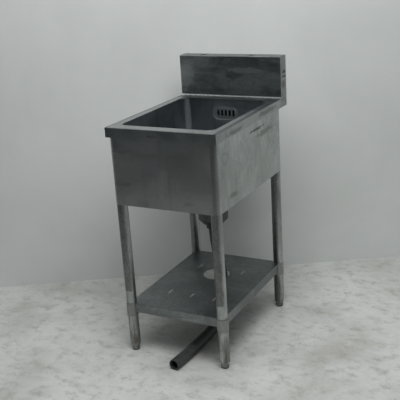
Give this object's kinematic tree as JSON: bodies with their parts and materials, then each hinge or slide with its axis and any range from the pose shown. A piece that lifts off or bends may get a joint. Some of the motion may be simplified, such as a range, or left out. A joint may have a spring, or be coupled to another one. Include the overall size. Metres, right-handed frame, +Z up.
{
  "type": "kitchen sink",
  "caption": "Free-standing single bowl catering sink with back splash, three-sided case, overflow, trap and hose, on round legs with a lower shelf.",
  "frame": {"origin": "on the floor, under the middle of the top's outline", "axes": "+X to the right seen from the front, +Y to the back splash, +Z up"},
  "size_m": [0.42, 0.6698, 1.005],
  "materials": {
    "top_sheet": "brushed sheet, worn",
    "bowl_sheet": "satin, used",
    "case_sheet": "brushed sheet, scratched",
    "leg_tube": "dull tube with grime at the foot",
    "shelf_sheet": "dull brushed sheet",
    "collar_steel": "dull",
    "pad_nylon": "black nylon",
    "foot_steel": "grimy turned steel",
    "polished_steel": "semi-bright pressed steel",
    "seal_rubber": "black rubber",
    "trap_steel": "satin drawn steel",
    "black_plastic": "black moulded nut",
    "grey_plastic": "grey moulding",
    "drain_hose": "dark grey soft hose",
    "overflow_hose": "grey soft hose",
    "plain_steel": "mill finish"
  },
  "bodies": {
    "sink": {"back_splash": "top_sheet", "back_splash_end_left": "top_sheet", "back_splash_end_right": "top_sheet", "bowl": "bowl_sheet", "case_front": "case_sheet", "case_left": "case_sheet", "case_right": "case_sheet", "deck": "top_sheet", "drain_hose": "drain_hose", "front_rail": "plain_steel", "grub_screws": "plain_steel", "hose_tail": "black_plastic", "left_rail": "plain_steel", "leg_front_left": "leg_tube", "leg_front_right": "leg_tube", "leg_inserts": "plain_steel", "leg_rear_left": "leg_tube", "leg_rear_right": "leg_tube", "leg_top_plates": "plain_steel", "lock_nut": "black_plastic", "outlet_nut": "black_plastic", "outlet_washer": "seal_rubber", "overflow_box": "grey_plastic", "overflow_clips": "plain_steel", "overflow_cover": "polished_steel", "overflow_gasket": "seal_rubber", "overflow_hose": "overflow_hose", "overflow_screws": "polished_steel", "plate_nuts": "plain_steel", "plate_studs": "plain_steel", "rear_brace": "plain_steel", "rear_rail": "plain_steel", "right_rail": "plain_steel", "shelf": "shelf_sheet", "shelf_collars": "collar_steel", "shelf_stiffener_front": "shelf_sheet", "shelf_stiffener_rear": "shelf_sheet", "trap_body": "trap_steel", "waste_flange": "polished_steel", "waste_gasket": "seal_rubber"},
    "basket": {"basket": "polished_steel", "basket_handle": "polished_steel"},
    "trap_bell": {"trap_bell": "grey_plastic"},
    "screw_front_left": {"foot_screw_front_left": "foot_steel"},
    "foot_front_left": {"foot_front_left": "foot_steel", "foot_pad_front_left": "pad_nylon"},
    "screw_front_right": {"foot_screw_front_right": "foot_steel"},
    "foot_front_right": {"foot_front_right": "foot_steel", "foot_pad_front_right": "pad_nylon"},
    "screw_rear_left": {"foot_screw_rear_left": "foot_steel"},
    "foot_rear_left": {"foot_rear_left": "foot_steel", "foot_pad_rear_left": "pad_nylon"},
    "screw_rear_right": {"foot_screw_rear_right": "foot_steel"},
    "foot_rear_right": {"foot_rear_right": "foot_steel", "foot_pad_rear_right": "pad_nylon"}
  },
  "joints": [
    {"name": "front_left_foot_travel", "type": "slide", "parent": "sink", "child": "screw_front_left", "axis": [0, 0, -1], "range_m": [0, 0.0175]},
    {"name": "front_left_foot_turn", "type": "hinge", "parent": "screw_front_left", "child": "foot_front_left", "pos_m": [-0.18355, -0.27855, 0.012], "axis": [0, 0, -1], "range_deg": [0, 3600]},
    {"name": "front_right_foot_travel", "type": "slide", "parent": "sink", "child": "screw_front_right", "axis": [0, 0, -1], "range_m": [0, 0.0175]},
    {"name": "front_right_foot_turn", "type": "hinge", "parent": "screw_front_right", "child": "foot_front_right", "pos_m": [0.18355, -0.27855, 0.012], "axis": [0, 0, -1], "range_deg": [0, 3600]},
    {"name": "rear_left_foot_travel", "type": "slide", "parent": "sink", "child": "screw_rear_left", "axis": [0, 0, -1], "range_m": [0, 0.0175]},
    {"name": "rear_left_foot_turn", "type": "hinge", "parent": "screw_rear_left", "child": "foot_rear_left", "pos_m": [-0.18355, 0.2363, 0.012], "axis": [0, 0, -1], "range_deg": [0, 3600]},
    {"name": "rear_right_foot_travel", "type": "slide", "parent": "sink", "child": "screw_rear_right", "axis": [0, 0, -1], "range_m": [0, 0.0175]},
    {"name": "rear_right_foot_turn", "type": "hinge", "parent": "screw_rear_right", "child": "foot_rear_right", "pos_m": [0.18355, 0.2363, 0.012], "axis": [0, 0, -1], "range_deg": [0, 3600]},
    {"name": "basket_lift", "type": "slide", "parent": "sink", "child": "basket", "axis": [0, 0, 1], "range_m": [0, 0.15]},
    {"name": "bell_twist", "type": "hinge", "parent": "sink", "child": "trap_bell", "pos_m": [0, 0.052, 0.48], "axis": [0, 0, 1], "range_deg": [0, 30]}
  ],
  "couplings": [
    {"joint": "front_left_foot_turn", "follows": "front_left_foot_travel", "rad_per_m": 3590.4},
    {"joint": "front_right_foot_turn", "follows": "front_right_foot_travel", "rad_per_m": 3590.4},
    {"joint": "rear_left_foot_turn", "follows": "rear_left_foot_travel", "rad_per_m": 3590.4},
    {"joint": "rear_right_foot_turn", "follows": "rear_right_foot_travel", "rad_per_m": 3590.4}
  ]
}
